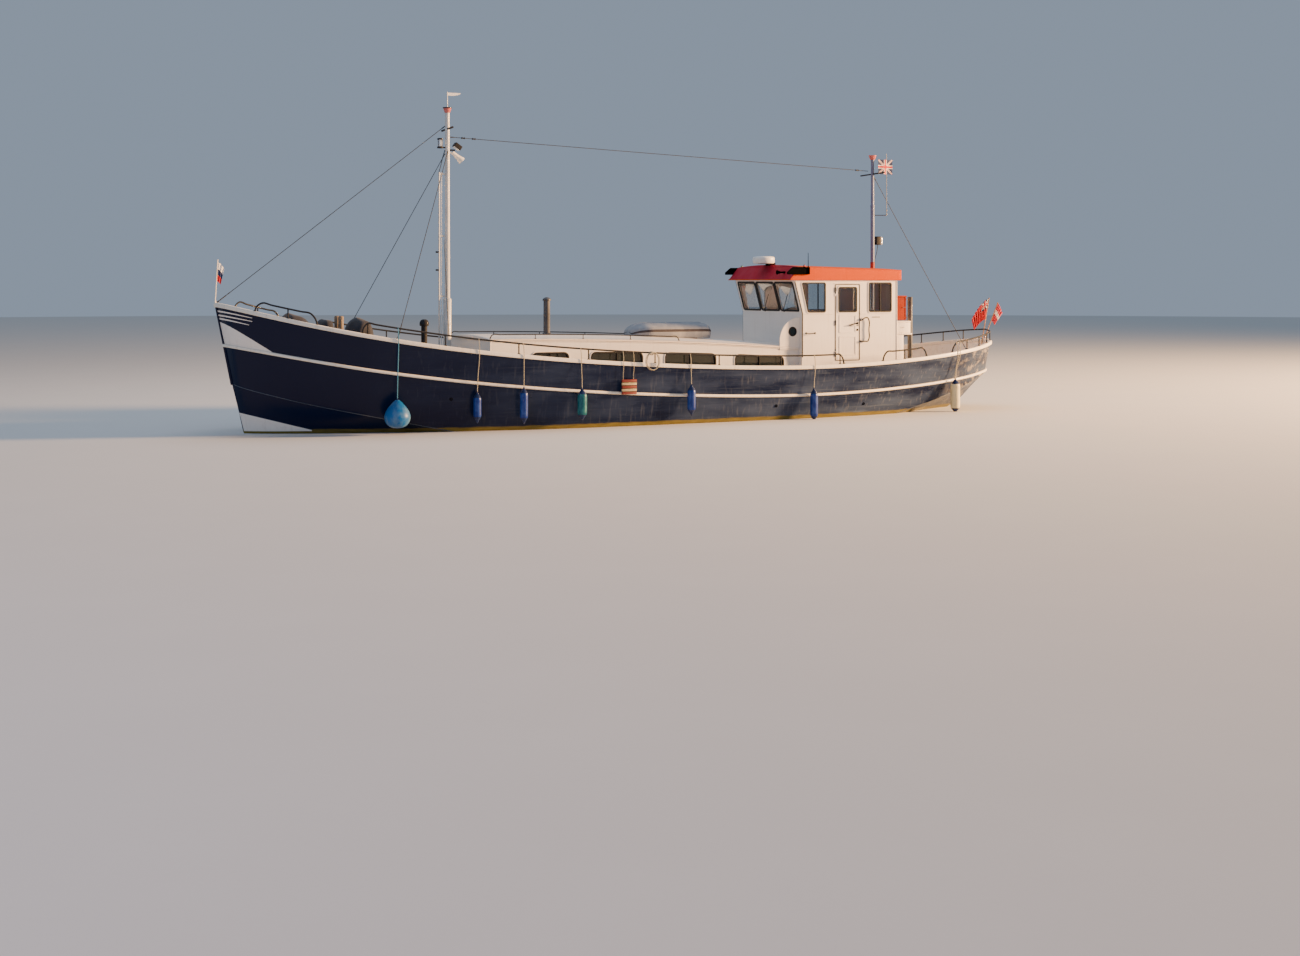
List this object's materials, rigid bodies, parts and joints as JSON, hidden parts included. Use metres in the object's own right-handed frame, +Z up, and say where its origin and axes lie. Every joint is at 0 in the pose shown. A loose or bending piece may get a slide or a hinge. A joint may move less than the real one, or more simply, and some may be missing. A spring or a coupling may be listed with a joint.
{
  "type": "converted motor barge",
  "caption": "Steel motor barge turned into a cruising home: raked bow, long trunk cabin, wheelhouse aft, masts with stays, fenders, rudder and screw.",
  "frame": {"origin": "amidships on the centreline, at the waterline", "axes": "+X runs aft along the keel, +Y to starboard, +Z up out of the water"},
  "size_m": [21.809, 4.7369, 9.2],
  "materials": {
    "navy_paint": "gloss marine enamel, dusty",
    "cream_paint": "gloss marine enamel",
    "white_paint": "gloss marine enamel",
    "orange_paint": "gloss marine enamel",
    "black_paint": "satin enamel",
    "grey_paint": "satin enamel",
    "salmon_paint": "satin enamel",
    "underwater_paint": "matt antifouling",
    "bronze": "dull cast bronze",
    "wire_rope": "galvanised",
    "varnished_wood": "oiled",
    "weathered_wood": "oiled, weathered",
    "step_wood": "painted slats",
    "blue_vinyl": "worn vinyl",
    "teal_vinyl": "worn vinyl",
    "buff_vinyl": "worn vinyl",
    "sky_vinyl": "worn vinyl",
    "tender_rubber": "coated fabric tubes",
    "flag_cloth": "woven bunting",
    "staff_wood": "varnished",
    "canvas_cover": "weathered canvas"
  },
  "bodies": {
    "root": {"hull": "navy_paint", "keel": "underwater_paint", "rudder_trunk": "underwater_paint", "rail_stern": "black_paint", "trunk_front": "white_paint", "trunk_roof": "white_paint", "wheelhouse_front": "white_paint", "wheelhouse_aft": "white_paint", "wheelhouse_floor": "varnished_wood", "wheelhouse_roof": "orange_paint", "foremast": "grey_paint", "aft_mast": "grey_paint", "forestay": "wire_rope", "triatic_stay": "wire_rope", "backstay": "wire_rope", "shroud_port": "wire_rope", "shroud_starboard": "wire_rope", "stovepipe": "black_paint", "exhaust_stack": "black_paint", "orange_locker": "salmon_paint", "white_locker": "white_paint", "tender": "tender_rubber", "fender_ball": "sky_vinyl", "fender_1": "blue_vinyl", "fender_2": "blue_vinyl", "fender_3": "teal_vinyl", "fender_4": "blue_vinyl", "fender_5": "blue_vinyl", "fender_stern": "buff_vinyl", "boarding_step": "step_wood", "bitts": "weathered_wood", "deck_vent": "black_paint", "windlass_cover": "canvas_cover", "hatch_coaming": "grey_paint", "jackstaff": "staff_wood", "ensign_staff": "staff_wood", "ensign": "flag_cloth", "flag_aft": "flag_cloth", "bulwark_port": "navy_paint", "cap_rail_port": "cream_paint", "strake_port": "cream_paint", "rail_port": "black_paint", "trunk_side_port": "white_paint", "wheelhouse_side_port": "white_paint", "sidelight_port": "black_paint", "bulwark_starboard": "navy_paint", "cap_rail_starboard": "cream_paint", "strake_starboard": "cream_paint", "rail_starboard": "black_paint", "trunk_side_starboard": "white_paint", "wheelhouse_side_starboard": "white_paint", "sidelight_starboard": "black_paint", "wing_port": "white_paint"},
    "rudder": {"rudder": "underwater_paint"},
    "propeller": {"propeller": "bronze"},
    "helm": {"helm_wheel": "varnished_wood"},
    "door_port": {"door_port": "white_paint"},
    "door_starboard": {"door_starboard": "white_paint"},
    "hatch_lid": {"hatch_lid": "grey_paint"}
  },
  "joints": [
    {"name": "rudder_turn", "type": "hinge", "parent": "root", "child": "rudder", "pos_m": [8.96, 0, -0.8], "axis": [0, 0, 1], "range_deg": [-35, 35]},
    {"name": "helm_turn", "type": "hinge", "parent": "root", "child": "helm", "pos_m": [4.8, 0, 2.06], "axis": [1, 0, 0], "range_deg": [-640, 640]},
    {"name": "propeller_spin", "type": "hinge", "parent": "root", "child": "propeller", "pos_m": [8.39, 0, -0.81], "axis": [1, 0, 0], "continuous": true},
    {"name": "door_port_swing", "type": "hinge", "parent": "root", "child": "door_port", "pos_m": [5.0875, -1.512, 2.37], "axis": [0, 0, -1], "range_deg": [0, 95]},
    {"name": "door_starboard_swing", "type": "hinge", "parent": "root", "child": "door_starboard", "pos_m": [5.0875, 1.512, 2.37], "axis": [0, 0, 1], "range_deg": [0, 95]},
    {"name": "hatch_lift", "type": "hinge", "parent": "root", "child": "hatch_lid", "pos_m": [-6.717, 0, 1.80955], "axis": [0, -1, 0], "range_deg": [0, 100]}
  ],
  "couplings": [
    {"joint": "helm_turn", "follows": "rudder_turn", "ratio": -18}
  ]
}
